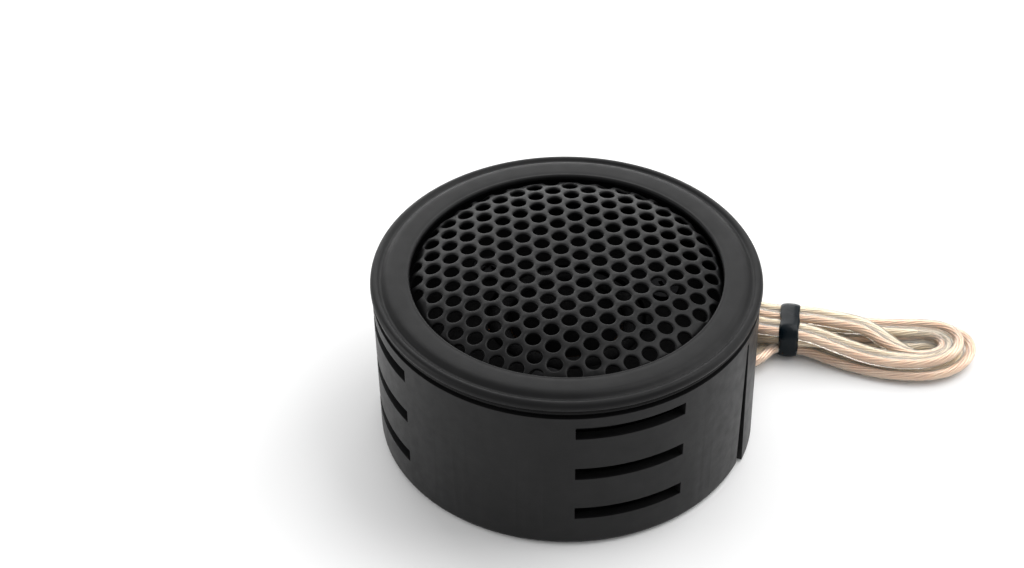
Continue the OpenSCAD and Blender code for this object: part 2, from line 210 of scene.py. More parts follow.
SLEEVE = moulded("sleeve_film", (0.006, 0.006, 0.016), (0.009, 0.009, 0.022), (0.16, 0.26), 1.2)
STRIPE = moulded("sleeve_stripe", (0.50, 0.51, 0.53), (0.56, 0.57, 0.59), (0.2, 0.3), 1.2)
BOARD = moulded("phenolic_board", (0.19, 0.085, 0.03), (0.25, 0.125, 0.05), (0.35, 0.5), 0.4)
FOAM = pressed(
    "foam", (0.003, 0.003, 0.003), (0.006, 0.006, 0.006), (0.85, 0.95), 0.22, 0.05,
    Specular_IOR_Level=0.15
)
FELT = pressed("felt", (0.055, 0.055, 0.05), (0.10, 0.10, 0.095), (0.9, 1.0), 0.18, 0.06)
# Black coated cloth, made far darker than the cup's plastic as painted shade: it stands for the shade
# in the cavity seen through the grille's holes.
CLOTH_BLACK_AND_SHADE = pressed(
    "coated_cloth_and_painted_shade", (0.001, 0.001, 0.0012), (0.002, 0.002, 0.0023), (0.6, 0.75), 0.2, 0.02,
    Specular_IOR_Level=0.08
)
# A black dome film, made far darker than the film's own black as painted shade: it stands for the
# shade under the grille, seen through its holes.
FILM_BLACK_AND_SHADE = moulded(
    "dome_film", (0.0007, 0.0007, 0.0008), (0.0013, 0.0013, 0.0014), (0.5, 0.6), 0.8, 0.002,
    Specular_IOR_Level=0.02
)
FORMER = moulded("former_film", (0.03, 0.016, 0.006), (0.05, 0.026, 0.01), (0.3, 0.4), 1.0, 0.002)
BLACK_STEEL = metal("black_steel", (0.01, 0.01, 0.011), (0.02, 0.02, 0.021), (0.45, 0.6))
ZINC = metal("zinc_steel", (0.50, 0.51, 0.53), (0.62, 0.62, 0.63), (0.28, 0.42))
FERRITE = moulded("ferrite", (0.018, 0.018, 0.019), (0.032, 0.032, 0.033), (0.5, 0.65), 0.12, 0.012)
TAG = metal("tag_metal", (0.62, 0.58, 0.47), (0.72, 0.68, 0.58), (0.25, 0.4))
SOLDER = metal("solder", (0.66, 0.66, 0.66), (0.78, 0.78, 0.77), (0.16, 0.3), grain_mm=0.5)
ALUMINIUM = metal("can_aluminium", (0.70, 0.71, 0.73), (0.78, 0.79, 0.80), (0.22, 0.32))
WINDING = metal("enamelled_copper", (0.22, 0.075, 0.03), (0.30, 0.11, 0.05), (0.3, 0.42))
COPPER = metal("copper_strands", (0.90, 0.60, 0.43), (0.98, 0.75, 0.58), (0.3, 0.42), grain_mm=0.4)
TINNED = metal("tinned_strands", (0.88, 0.74, 0.54), (0.97, 0.87, 0.69), (0.3, 0.42), grain_mm=0.4)


def clear_pvc():
    """Clear soft plastic of the wire, a little yellow, with faint extrusion marks."""
    s = Shader("clear_pvc", IOR=1.47)
    s.bsdf.inputs["Transmission Weight"].default_value = 0.8
    s.bsdf.inputs["Base Color"].default_value = (1.0, 0.95, 0.86, 1)
    s.rough(s.noise(1.5, 2), 0.07, 0.14)
    s.bump((s.noise(2.2, 2), 0.02))
    return s.material


PVC = clear_pvc()


# ---------------------------------------------------------------- mesh helpers

def add(name, verts, faces, body, slot, material, sharp=32, replaces=()):
    """A mesh piece that rides on a body, with smooth faces and sharp edges where it turns."""
    mesh = bpy.data.meshes.new(name)
    mesh.from_pydata([tuple(c * MM for c in v) for v in verts], [], faces)
    bm = bmesh.new()
    bm.from_mesh(mesh)
    bmesh.ops.remove_doubles(bm, verts=bm.verts, dist=1e-7)
    bmesh.ops.recalc_face_normals(bm, faces=bm.faces)
    bm.to_mesh(mesh)
    bm.free()
    mesh.shade_smooth()
    mesh.set_sharp_from_angle(angle=math.radians(sharp))
    mesh.materials.append(material)
    obj = bpy.data.objects.new(name, mesh)
    scene.collection.objects.link(obj)
    if body:
        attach(obj, body)
    if replaces:
        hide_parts(*replaces)
    return obj


def from_cad(node, slot, material, bevel, segments=2):
    """A finer copy of a CAD node, with flat faces joined again and its edges rounded."""
    source = frame["nodes"][node]
    bm = bmesh.new()
    bm.from_mesh(source.data)
    bmesh.ops.remove_doubles(bm, verts=bm.verts, dist=1.5e-6)
    bmesh.ops.dissolve_limit(bm, angle_limit=math.radians(0.7), verts=bm.verts, edges=bm.edges)
    verts = [v.co / MM for v in bm.verts]
    faces = [[v.index for v in f.verts] for f in bm.faces]
    bm.free()
    obj = add("fine_" + node, verts, faces, source["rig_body"], slot, material, replaces=[node])
    rounding = obj.modifiers.new("rounding", "BEVEL")
    rounding.width = bevel * MM
    rounding.segments = segments
    rounding.limit_method = "ANGLE"
    rounding.angle_limit = math.radians(35)
    rounding.harden_normals = True
    return obj


def arc(cx, cz, r, start, end, n):
    """Points of an arc in a profile, angles in degrees from +r towards +z."""
    return [
        (cx + r * math.cos(math.radians(a)), cz + r * math.sin(math.radians(a)))
        for a in np.linspace(start, end, n)
    ]


def lathe(profile, segments, closed=True, change=None):
    """Turns a profile of (r, z) about the Z axis. change(point, azimuth) may move a point."""
    verts, faces = [], []
    m = len(profile)
    for i in range(segments):
        a = 360 * i / segments
        c, s = math.cos(math.radians(a)), math.sin(math.radians(a))
        for p in profile:
            r, z = change(p, a) if change else p
            verts.append((r * c, r * s, z))
    for i in range(segments):
        j = (i + 1) % segments
        for k in range(m if closed else m - 1):
            n = (k + 1) % m
            faces.append((i * m + k, j * m + k, j * m + n, i * m + n))
    return verts, faces


def length_along(points):
    """The distance along a line of points, at each of them."""
    return np.concatenate([[0], np.cumsum(np.linalg.norm(np.diff(points, axis=0), axis=1))])


def resample(rows, along, at):
    """Every column of rows, which lie at the distances along, read off at other distances."""
    return np.stack([np.interp(at, along, column) for column in rows.T], axis=1)


def spline(points, step):
    """A smooth line through the points (any number of columns), sampled about step apart."""
    p = np.array(points, float)
    p = np.vstack([2 * p[0] - p[1], p, 2 * p[-1] - p[-2]])
    out = []
    for i in range(1, len(p) - 2):
        p0, p1, p2, p3 = p[i - 1 : i + 3]
        n = max(2, int(np.linalg.norm(p2[:3] - p1[:3]) / step * 3))
        for t in np.linspace(0, 1, n, endpoint=False):
            out.append(
                0.5 * (2 * p1 + (p2 - p0) * t + (2 * p0 - 5 * p1 + 4 * p2 - p3) * t ** 2
                       + (3 * p1 - p0 - 3 * p2 + p3) * t ** 3)
            )
    out.append(p[-2])
    out = np.array(out)
    along = length_along(out[:, :3])
    return resample(out, along, np.linspace(0, along[-1], max(3, round(along[-1] / step) + 1)))


def frames(line):
    """Heading, side and up vectors along a line whose fourth column tilts the wire's flat, in
    degrees. The side never flips, even where the wire folds back over itself."""
    heading = np.gradient(line[:, :3], axis=0)
    heading /= np.linalg.norm(heading, axis=1)[:, None]
    sides, ups = [], []
    last = None
    for t, tilt in zip(heading, line[:, 3]):
        level = np.cross(t, [0, 0, 1])
        turned = 1
        if last is not None:
            if np.linalg.norm(level) < 0.3:
                level = last - t * (last @ t)
            elif level @ last < 0:
                level, turned = -level, -1
        level = level / np.linalg.norm(level)
        last = level
        up = np.cross(level, t)
        a = math.radians(tilt) * turned
        sides.append(level * math.cos(a) + up * math.sin(a))
        ups.append(up * math.cos(a) - level * math.sin(a))
    return heading, np.array(sides), np.array(ups)


def sweep(line, outline):
    """A closed tube. outline(along) gives the (side, up) offsets of its section, along mm on."""
    _, sides, ups = frames(line)
    sections = [outline(along) for along in length_along(line[:, :3])]
    m = len(sections[0])
    verts = [
        p + s * a + u * b
        for p, s, u, section in zip(line[:, :3], sides, ups, sections) for a, b in section
    ]
    faces = [
        (i * m + k, i * m + (k + 1) % m, (i + 1) * m + (k + 1) % m, (i + 1) * m + k)
        for i in range(len(line) - 1) for k in range(m)
    ]
    faces += [tuple(range(m)), tuple((len(line) - 1) * m + k for k in range(m))]
    return verts, faces


def merge(*meshes):
    """One mesh of several."""
    verts, faces = [], []
    for v, f in meshes:
        faces += [tuple(k + len(verts) for k in face) for face in f]
        verts += list(v)
    return verts, faces


def ring_points(r, n):
    """n points around a circle of radius r."""
    return [(r * math.cos(2 * math.pi * k / n), r * math.sin(2 * math.pi * k / n)) for k in range(n)]


def round_bar(points, r, n, step):
    """A thin round wire along the points."""
    return sweep(spline(points, step), lambda along: ring_points(r, n))


# ---------------------------------------------------------------- the twin wire's own shape

CORE_GAP = 0.75                 # from the wire's middle to each conductor's
CORE_R = 0.70                   # radius of one conductor's insulation
STRANDS = 6                     # around a middle one
STRAND_RING = 0.27              # from the conductor's middle to each of them
STRAND_R = 0.145
MIDDLE_STRAND_R = 0.14
TWIST = 2 * math.pi / 11        # one turn in 11 mm


def twin_outline(along):
    """Section of the flat twin wire: two round insulations with a thin web between them."""
    right = [
        (CORE_GAP + CORE_R * math.cos(a), CORE_R * math.sin(a))
        for a in np.radians(np.linspace(-150, 150, 11))
    ]
    left = [(-x, -y) for x, y in right]
    return right + left


def strands(line, middle, radius=STRAND_R, ring=STRAND_RING):
    """Twisted strands of one conductor, at (side, up) = (middle, 0) of the wire."""
    parts = []
    for k in range(STRANDS):
        def section(along, k=k):
            a = 2 * math.pi * k / STRANDS + TWIST * along
            return [
                (middle + ring * math.cos(a) + x, ring * math.sin(a) + y)
                for x, y in ring_points(radius, 6)
            ]
        parts.append(sweep(line, section))
    core = [(middle + x, y) for x, y in ring_points(MIDDLE_STRAND_R, 5)]
    parts.append(sweep(line, lambda along: core))
    return merge(*parts)


# ---------------------------------------------------------------- the cord, in its hank

# The hank's centre line, from the tie round the back of the housing to its hidden end
AXIS = np.array([
    (29.8, 12.9), (27.9, 13.25), (26, 13.8), (24.1, 14.9), (22.6, 17), (20.7, 20.5), (17.5, 24.7),
    (13, 28.6), (7.6, 31.7), (2.1, 33.4)
])
GO = np.gradient(AXIS, axis=0)
GO /= np.linalg.norm(GO, axis=1)[:, None]
OUTER = np.stack([GO[:, 1], -GO[:, 0]], axis=1)       # away from the housing
LANE = 1.47                                           # half the distance between two columns


def lane(k, offset, z, tilt=0, past=0):
    """A route point beside AXIS[k], offset mm away from the housing and past mm further on."""
    x, y = AXIS[k] + OUTER[k] * offset + GO[k] * past
    return (x, y, z, tilt)


# The route: x, y, z and the tilt of the wire's flat in degrees
LEAD = [(23.3, 7.75, 1.5, 0), (24.4, 8.1, 1.5, 12), (25.6, 8.9, 1.5, 30), (26.9, 10.4, 1.5, 22)]
LOOP_A = [
    (28.4, 11.35, 1.35, 8), (30.2, 11.4, 1.15, 0), (32.6, 10.7, 1.0, 0), (35.8, 9, 0.85, 0),
    (39.3, 7.4, 0.8, 0), (42.7, 6.3, 0.8, 8), (46.5, 5.8, 0.88, 14), (49.7, 6.4, 0.95, 18),
    (52, 8.1, 1.05, 26), (52.9, 10.4, 1.1, 30), (51.9, 12.7, 1.05, 26), (49.2, 13.9, 0.95, 18),
    (45.7, 14.2, 0.85, 10), (41.8, 14.2, 0.75, 4), (37.8, 14.4, 0.75, 0), (33.8, 14.6, 0.9, 0),
    (30, 14.45, 1.1, 0)
]
FOLD_A = (
    [lane(k, LANE, 0.85) for k in range(1, 8)]
    + [lane(8, 2.4, 0.9), lane(9, 3.2, 1.2, 15), lane(9, 2.3, 2.0, 35, 2.6), lane(9, 0, 2.8, 45, 3.6),
       lane(9, -2.3, 3.3, 35, 2.6), lane(9, -3.2, 3.6, 15), lane(8, -2.5, 3.75), lane(7, -1.7, 3.85)]
    + [lane(k, -LANE, 3.9) for k in range(6, 0, -1)]
)
LOOP_B = [
    (29.6, 11.4, 3.9, 0), (32.8, 10.5, 3.6, 0), (36.3, 9.2, 2.9, 0), (39.8, 7.9, 2.35, 0),
    (43.3, 7, 2.2, 8), (47.1, 6.8, 2.25, 18), (50, 7.9, 2.4, 28), (51.2, 10, 2.5, 34),
    (50.1, 12.1, 2.4, 28), (47.1, 13.1, 2.25, 18), (43, 13.4, 2.2, 5), (38.4, 14, 2.2, 0),
    (34.3, 14.4, 2.3, 0), (30, 14.45, 2.5, 0)
]
FOLD_B = (
    [lane(k, LANE, 2.35) for k in range(1, 6)]
    + [lane(6, 1.2, 2.3), lane(7, 0.2, 2.3), lane(8, -0.9, 2.35), lane(8, -0.4, 2.6, 0, 1.7),
       lane(8, 1.25, 3.1, 0, 2.5), lane(8, 2.9, 3.6, 0, 1.7), lane(8, 3.4, 3.8), lane(7, 2.5, 3.9),
       lane(6, 1.7, 3.9)]
    + [lane(k, LANE, 3.9) for k in range(5, 0, -1)]
)
LOOP_C = [
    (30, 14.4, 3.9, 0), (32.9, 14.1, 3.85, 0), (35.8, 13.4, 3.75, 0), (38.5, 12.7, 3.6, 5),
    (40.4, 11.9, 3.2, 10), (42, 10.8, 2.6, 12), (43.8, 9.8, 1.95, 22), (45.8, 8.9, 1.5, 38),
    (47.7, 8.7, 1.35, 56), (49.3, 9.4, 1.4, 66), (49.4, 10.8, 1.4, 66), (48, 11.7, 1.35, 50),
    (45.7, 11.8, 1.1, 30), (41.8, 11.8, 0.85, 10), (37.8, 11.7, 0.85, 0), (34.6, 11.6, 1.4, 0),
    (32, 11.5, 2.1, 0), (29.6, 11.4, 2.5, 0)
]
FREE_END = (
    [lane(1, -LANE, 2.4), lane(2, -LANE, 2.2), lane(3, -LANE, 1.5)]
    + [lane(k, -LANE, 0.85) for k in range(4, 7)]
    + [lane(7, -1.3, 0.8), lane(8, -1, 0.75), lane(9, -0.6, 0.75), lane(9, -0.3, 0.8, 0, 3.4)]
)
ROUTE = LEAD + LOOP_A + FOLD_A + LOOP_B + FOLD_B + LOOP_C + FREE_END
cord_line = spline(ROUTE, 0.6)

cord = add(
    "twin_wire", *sweep(cord_line, twin_outline), "cup", "clear_wire", PVC, sharp=60,
    replaces=["cord_lead", "cord_hank"]
)
core_line = spline(ROUTE, 0.8)[:-1]                   # ends inside the insulation
copper_core = add(
    "wire_core_copper", *strands(core_line, CORE_GAP), "cup", "clear_wire", COPPER, sharp=80
)
tinned_core = add(
    "wire_core_tinned", *strands(core_line, -CORE_GAP), "cup", "clear_wire", TINNED, sharp=80
)

TIP_SAG = [(0, 0), (1.6, 0.02), (3.2, 0.1), (4.8, 0.2), (6.4, 0.3), (7.6, 0.34)]      # reach, sag
TIP_START, TIP_SPLAY, TIP_REST_Z = -0.3, 0.16, 0.42


def stripped_end(sign):
    """The strands of one core past the insulation, tinned, splayed out and resting low."""
    heading, side, _ = (v[-1] for v in frames(cord_line))
    start = cord_line[-1][:3] + side * CORE_GAP * sign + heading * TIP_START
    out = heading + side * TIP_SPLAY * sign
    line = []
    for reach, sag in TIP_SAG:
        x, y, z = start + out * reach
        line.append((x, y, max(TIP_REST_Z, z - sag), 0))
    return strands(spline(line, 0.4), 0.0, radius=0.14, ring=0.25)


tips = add(
    "stripped_ends", *merge(stripped_end(-1), stripped_end(1)), "cup", "tinned_copper", SOLDER,
    sharp=80, replaces=["cord_tips"]
)

# Band around the bundle
TIE_AT = AXIS[0]
TIE_GO = np.array([math.cos(math.radians(-8)), math.sin(math.radians(-8))])
TIE_SIDE = np.array([-TIE_GO[1], TIE_GO[0]])
TIE_HALF, TIE_LOW, TIE_HIGH, TIE_CORNER = 3.05, 0.38, 4.62, 1.25
TIE_WIDTH, TIE_THICK = 2.5, 0.46
TIE_LOOP_POINTS = 96


def tie_loop():
    """Evenly spaced rows of (side, z, outward side, outward z) along the band's inner face."""
    right, top, bottom = TIE_HALF - TIE_CORNER, TIE_HIGH - TIE_CORNER, TIE_LOW + TIE_CORNER
    rows = []
    for cx, cz, start in (
        (right, bottom, -90), (right, top, 0), (-right, top, 90), (-right, bottom, 180)
    ):
        for a in np.linspace(start, start + 90, 9):
            c, s = math.cos(math.radians(a)), math.sin(math.radians(a))
            rows.append((cx + TIE_CORNER * c, cz + TIE_CORNER * s, c, s))
    rows = np.array(rows + rows[:1])
    along = length_along(rows[:, :2])
    return resample(rows, along, np.linspace(0, along[-1], TIE_LOOP_POINTS + 1)[:-1])


def tie_band():
    """The band, with a crowned section and slightly wavy edges."""
    w = TIE_WIDTH / 2
    # across the band, and height as a share of its thickness
    half = [(-w, 0.05), (-w - 0.02, 0.3), (-w + 0.08, 0.575), (-w + 0.35, 0.8), (-w * 0.4, 0.9625)]
    section = half + [(0, 1)] + [(-across, share) for across, share in reversed(half)] + [(0, 0)]
    verts, faces = [], []
    m, n = len(section), TIE_LOOP_POINTS
    for i, (a, z, c, s) in enumerate(tie_loop()):
        turn = 2 * math.pi * i / n
        wobble = 0.05 * math.sin(5 * turn) + 0.02 * math.sin(9 * turn + 1)
        for across, share in section:
            high = share * TIE_THICK
            xy = TIE_AT + TIE_GO * (across + wobble) + TIE_SIDE * (a + c * high)
            verts.append((*xy, max(0.01, z + s * high)))
    for i in range(n):
        j = (i + 1) % n
        faces += [
            (i * m + k, j * m + k, j * m + (k + 1) % m, i * m + (k + 1) % m) for k in range(m)
        ]
    return verts, faces


tie = add("bundle_tie", *tie_band(), "cup", "tie_rubber", TIE, sharp=50, replaces=["cord_tie"])


# ---------------------------------------------------------------- housing

from_cad("housing_cup", "cup_plastic", CUP, 0.14)
from_cad("wire_grommet", "seal_rubber", RUBBER, 0.3, segments=3)

BEZEL_TOP, OPENING_R, CUP_RIM = 23.65, 19.2, 21.1
RIM_UNDER, UNDERCUT_R = 21.75, 23.2
BEAD_R, BEAD_MID_R, BEAD_Z = 0.65, 23.35, 22.75
PRY_AZIMUTH, PRY_HALF, PRY_TOP, PRY_R = -16.4, 3.1, 22.0, 23.17

bezel_profile = (
    # skirt inside the cup, and the undercut above the cup's rim
    [(21.72, 17.92), (21.8, 17.9), (22.13, 17.9), (22.25, 18.02), (22.25, CUP_RIM)]
    + [(UNDERCUT_R - 0.06, CUP_RIM), (UNDERCUT_R, CUP_RIM + 0.06), (UNDERCUT_R, RIM_UNDER - 0.05)]
    # foot of the overhanging rim, its waist and its bead
    + [(UNDERCUT_R + 0.05, RIM_UNDER), (23.6, RIM_UNDER), (23.71, RIM_UNDER + 0.03)]
    + [(23.75, RIM_UNDER + 0.09), (23.74, RIM_UNDER + 0.17), (23.64, RIM_UNDER + 0.27)]
    + [(23.56, RIM_UNDER + 0.36)]
    + arc(BEAD_MID_R, BEAD_Z, BEAD_R, -58, 122, 25)
    # shallow groove inside the bead, then the flat top
    + [(22.86, 23.21), (22.72, 23.2), (22.57, 23.26), (22.36, 23.41), (22.12, 23.55), (21.85, 23.62)]
    + [(21.5, BEZEL_TOP), (20.9, BEZEL_TOP), (20.2, BEZEL_TOP), (19.75, BEZEL_TOP - 0.01)]
    # rounded edge of the opening, and the lip and ledge that hold the grille
    + arc(OPENING_R + 0.28, BEZEL_TOP - 0.3, 0.28, 70, 180, 8)
    + [(OPENING_R, 23.08), (OPENING_R + 0.05, 23.0), (19.9, 22.83), (20.6, 22.65), (20.6, 19.42)]
    + [(20.62, 19.4), (21.68, 19.4), (21.7, 19.38)]
)


def pry_notch(point, azimuth):
    """Cuts the foot of the rim back to PRY_R, over the spring tongue."""
    r, z = point
    off_azimuth = abs((azimuth - PRY_AZIMUTH + 180) % 360 - 180)
    if r > UNDERCUT_R and z < PRY_TOP and off_azimuth < PRY_HALF:
        return PRY_R, z
    return point


add(
    "bezel_ring", *lathe(bezel_profile, 360, change=pry_notch), "capsule", "bezel_plastic", BEZEL,
    sharp=38, replaces=["front_bezel"]
)


# ---------------------------------------------------------------- grille

SHEET_T = 0.45
CROWN_Z = 24.92
FALL_AT, FALL_2, FALL_4 = 20, 0.33, 2.07              # fall of the crown at 20 mm, by power
ROLL_OFF_R, ROLL_OFF = 18.2, 0.6
BEND_START, BEND_R = 19.7, 0.85
SKIRT_END_Z, FOOT_R, RIM_R = 19.4, 0.22, 21.6

HOLE_R, PITCH, TURN = 0.94, 2.611, math.radians(-26.7)
HOLE_SHIFT = np.array([-0.33, -2.52])                 # from the axis to the middle of a hole
HOLE_LIMIT = 19.25                                    # no hole's middle lies further out
MOUTH_R, UNDER_R = HOLE_R + 0.2, HOLE_R + 0.05        # where its rounded edges meet the sheet's faces
HOLE_WALL = [                                         # growth of the radius, depth
    (0.12, 0.02), (0.05, 0.07), (0.01, 0.14), (0.0, 0.2), (0.0, SHEET_T - 0.06)
]
FLAT_R = HOLE_LIMIT + MOUTH_R + 0.1                   # outside it the blank is plain
HOLE_SIDES, EDGE_SIDES = 26, 200


def crown(r):
    """Height of the crown and its downward slope; near its edge it rolls off under the bezel."""
    u = r / FALL_AT
    edge = max(0.0, r - ROLL_OFF_R)
    z = CROWN_Z - FALL_2 * u ** 2 - FALL_4 * u ** 4 - ROLL_OFF * edge ** 2
    return z, (2 * FALL_2 * u + 4 * FALL_4 * u ** 3) / FALL_AT + 2 * ROLL_OFF * edge


def crown_profile():
    """Rows of (flat radius, r, z, normal r, normal z) of the sheet's upper face."""
    rows = []
    for s in np.linspace(0, BEND_START, 60):
        z, slope = crown(s)
        n = math.hypot(slope, 1)
        rows.append((s, s, z, slope / n, 1 / n))
    # the bend down into the wall
    s, r, z, nr, nz = rows[-1]
    start = math.atan2(nr, nz)
    cr, cz = r - BEND_R * nr, z - BEND_R * nz
    for a in np.linspace(start, math.pi / 2, 12)[1:]:
        c, k = math.sin(a), math.cos(a)
        rows.append((s + BEND_R * (a - start), cr + BEND_R * c, cz + BEND_R * k, c, k))
    # the wall, its foot and the flat rim
    s, r, z, _, _ = rows[-1]
    low = SKIRT_END_Z + FOOT_R
    s += z - low
    rows.append((s, r, low, 1, 0))
    for a in np.linspace(math.pi / 2, 0, 6)[1:]:
        c, k = math.sin(a), math.cos(a)
        rows.append((s + FOOT_R * (math.pi / 2 - a), r + FOOT_R * (1 - c), low - FOOT_R * k, c, k))
    s, r, z, _, _ = rows[-1]
    rows += [(s + more, r + more, z, 0, 1) for more in np.linspace(0, RIM_R - r, 4)[1:]]
    return np.array(rows)


FORM = crown_profile()


def formed(point, depth):
    """A point of the flat blank, in its place on the formed sheet, depth mm below its face."""
    x, y = point
    s = math.hypot(x, y)
    r, z, nr, nz = (np.interp(s, FORM[:, 0], column) for column in FORM.T[1:])
    n = math.hypot(nr, nz)
    r, z = r - depth * nr / n, z - depth * nz / n
    return (r * x / s, r * y / s, z)


def hole_centres():
    a, b = (PITCH * np.array([math.cos(t), math.sin(t)]) for t in (TURN, TURN - math.pi / 3))
    grid = [i * a + j * b + HOLE_SHIFT for i in range(-16, 17) for j in range(-16, 17)]
    return [c for c in grid if np.linalg.norm(c) < HOLE_LIMIT]


def hole_circle(centre, r):
    return [(centre[0] + x, centre[1] + y) for x, y in ring_points(r, HOLE_SIDES)]


def blank(centres):
    """The flat sheet: its points, hole by hole and then around its edge, and its triangles."""
    flat = [p for c in centres for p in hole_circle(c, MOUTH_R)] + ring_points(FLAT_R, EDGE_SIDES)
    loops, first = [], 0
    for n in [HOLE_SIDES] * len(centres) + [EDGE_SIDES]:
        loops += [(first + k, first + (k + 1) % n) for k in range(n)]
        first += n
    points, _, found, origin, _, _ = delaunay_2d_cdt([Vector(p) for p in flat], loops, [], 0, 1e-7)
    assert len(points) == len(flat)
    # a triangle within a hole has its middle inside 0.981 of the radius, one of the sheet past 0.992
    inside_hole = 0.987 * MOUTH_R
    middles = np.array(centres)
    triangles = []
    for tri in found:
        mid = np.mean([points[k] for k in tri], axis=0)
        if np.linalg.norm(middles - mid, axis=1).min() >= inside_hole:
            triangles.append(tuple(origin[k][0] for k in tri))
    return flat, triangles


def between(upper, lower):
    """Faces between two closed rings of vertex numbers."""
    n = len(upper)
    return [(upper[k], upper[(k + 1) % n], lower[(k + 1) % n], lower[k]) for k in range(n)]


def perforated_grille():
    centres = hole_centres()
    flat, triangles = blank(centres)
    edge_start = len(centres) * HOLE_SIDES
    flat_below = [p for c in centres for p in hole_circle(c, UNDER_R)] + flat[edge_start:]
    verts = [formed(p, 0) for p in flat] + [formed(p, SHEET_T) for p in flat_below]
    below = len(flat)                                 # from a number of the face to the one below it
    faces = triangles + [tuple(k + below for k in reversed(tri)) for tri in triangles]

    def new_ring(points, depth):
        """Adds a ring of points and gives their numbers."""
        first = len(verts)
        verts.extend(formed(p, depth) for p in points)
        return range(first, len(verts))

    for h, centre in enumerate(centres):
        mouth = range(h * HOLE_SIDES, (h + 1) * HOLE_SIDES)
        wall = [new_ring(hole_circle(centre, HOLE_R + grow), depth) for grow, depth in HOLE_WALL]
        rings = [mouth, *wall, [k + below for k in mouth]]
        for upper, lower in zip(rings, rings[1:]):
            faces += between(upper, lower)

    # the plain edge, bend, wall and rim, out to the gasket
    radii = [s for s in FORM[:, 0] if s > FLAT_R + 0.02]
    edge = range(edge_start, below)
    uppers = [edge] + [new_ring(ring_points(s, EDGE_SIDES), 0) for s in radii]
    lowers = [[k + below for k in edge]]
    lowers += [new_ring(ring_points(s, EDGE_SIDES), SHEET_T) for s in radii]
    for rings in (uppers, lowers):
        for inner, outer in zip(rings, rings[1:]):
            faces += between(inner, outer)
    faces += between(uppers[-1], lowers[-1])
    return verts, faces


add(
    "formed_grille", *perforated_grille(), "capsule", "grille_steel", PAINT, sharp=50,
    replaces=["grille"]
)


# ---------------------------------------------------------------- driver

from_cad("grille_gasket", "foam", FOAM, 0.12)
from_cad("driver_frame", "frame_plastic", FRAME_BLACK_AND_SHADE, 0.12)
from_cad("frame_screws", "black_steel", BLACK_STEEL, 0.08)
from_cad("top_plate", "zinc_steel", ZINC, 0.15)
from_cad("ring_magnet", "ferrite", FERRITE, 0.35, segments=3)
from_cad("pole_yoke", "zinc_steel", ZINC, 0.2)
from_cad("pole_felt", "felt", FELT, 0.12)
from_cad("coil_former", "former_film", FORMER, 0.03, segments=1)
from_cad("terminal_board", "board", BOARD, 0.06)
from_cad("solder_tags", "tag_metal", TAG, 0.06)

FORMER_R, PLATE_TOP = 7.05, 15.2
SKIN = 0.15                     # of the surround and of the dome
ROLL_MID, ROLL_R, FLANGE_R = 8.45, 1.2, 11.2
surround_profile = (
    [(FORMER_R, PLATE_TOP), (FORMER_R, 15.35), (FORMER_R + 0.1, 15.36)]
    + arc(ROLL_MID, 15.35, ROLL_R + SKIN / 2, 178, 2, 25)
    + [(9.85, 15.36), (FLANGE_R - 0.05, 15.36), (FLANGE_R, 15.31), (FLANGE_R, PLATE_TOP)]
    + [(9.62, PLATE_TOP)]
    + arc(ROLL_MID, 15.32, ROLL_R - SKIN / 2, 2, 178, 25)
    + [(7.28, PLATE_TOP)]
)
add(
    "half_roll", *lathe(surround_profile, 96), "capsule", "surround_cloth", CLOTH_BLACK_AND_SHADE,
    replaces=["surround"]
)

DOME_Z, DOME_H = 15.95, 2.2
BALL_R = (FORMER_R ** 2 + DOME_H ** 2) / (2 * DOME_H)
BALL_Z = DOME_Z + DOME_H - BALL_R
top_angle = math.degrees(math.asin(FORMER_R / BALL_R))
dome_profile = (
    [(0.0, DOME_Z + DOME_H)] + arc(0, BALL_Z, BALL_R, 88, 90 - top_angle, 22)
    + [(FORMER_R - 0.1, DOME_Z)] + arc(0, BALL_Z, BALL_R - SKIN, 90 - top_angle + 1.2, 88, 22)
    + [(0.0, DOME_Z + DOME_H - SKIN)]
)
add(
    "dome_shell", *lathe(dome_profile, 96, closed=False), "diaphragm", "dome_film", FILM_BLACK_AND_SHADE,
    replaces=["dome"]
)

# The coil's top turn stays clear of the surround at full travel
COIL_Z, TURNS, WIRE_R, COIL_R = 12.6, 12, 0.0867, 7.31
coil_profile = [(FORMER_R + 0.005, COIL_Z + 2 * TURNS * WIRE_R), (FORMER_R + 0.005, COIL_Z)]
for k in range(TURNS):
    coil_profile += arc(COIL_R, COIL_Z + WIRE_R * (2 * k + 1), WIRE_R, -80, 80, 5)
add(
    "wound_coil", *lathe(coil_profile, 96), "diaphragm", "enamelled_copper", WINDING,
    sharp=60, replaces=["voice_coil"]
)

TERMINAL = math.radians(198.4)
T_OUT = np.array([math.cos(TERMINAL), math.sin(TERMINAL), 0])
T_SIDE = np.array([-math.sin(TERMINAL), math.cos(TERMINAL), 0])


def at_terminal(r, side, z):
    """A place on the terminal side: r mm out from the axis and side mm across."""
    return T_OUT * r + T_SIDE * side + np.array([0, 0, z])


LEAD_OUT = [
    (7.55, 1.35, 15.55), (9.2, 1.5, 15.62), (10.8, 1.6, 15.6), (12.6, 1.6, 15.58), (14.4, 1.6, 15.6),
    (16.2, 1.6, 15.6)
]


def lead_out(sign):
    points = [(*at_terminal(r, sign * side, z), 0) for r, side, z in LEAD_OUT]
    return round_bar(points, 0.12, 8, 0.3)


coil_leads = add(
    "coil_lead_outs", *merge(lead_out(-1), lead_out(1)), None, "enamelled_copper", WINDING,
    sharp=60, replaces=["coil_leads"]
)
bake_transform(coil_leads)

RIVET_AT, RIVET_SIDE = 19.1, 2.5
rivet_profile = (
    [(0.0, 16.62), (0.45, 16.62), (0.6, 16.58), (0.6, 15.4), (0.95, 15.4), (0.95, 15.3)]
    + [(0.85, 15.16), (0.6, 15.09), (0.35, 15.07), (0.3, 15.2), (0.0, 15.2)]
)


